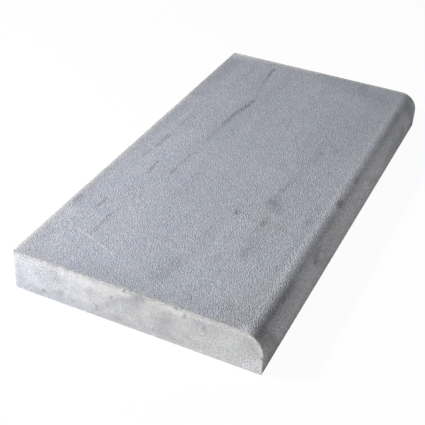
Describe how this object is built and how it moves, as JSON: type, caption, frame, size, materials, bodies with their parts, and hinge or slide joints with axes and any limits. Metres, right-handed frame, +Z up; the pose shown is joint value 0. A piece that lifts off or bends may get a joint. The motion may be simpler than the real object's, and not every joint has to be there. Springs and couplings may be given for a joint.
{
  "type": "pool edge slab",
  "caption": "Rectangular marble slab for a pool edge, with a flat sandblasted tread, a half-bullnose nose along the pool side, a square back edge and sawn ends.",
  "frame": {"origin": "middle of the slab's footprint, on the plane of the bed it lies on", "axes": "+Y along the slab, +X across it from the square back edge towards the bullnose, +Z up out of the tread"},
  "size_m": [0.3, 0.6, 0.05],
  "materials": {
    "marble": "bluish grey fine-grained marble: tread and nose sandblasted and matt, ends, back edge and bed left as sawn and paler"
  },
  "bodies": {
    "root": {"coping_slab": "marble"}
  },
  "joints": []
}
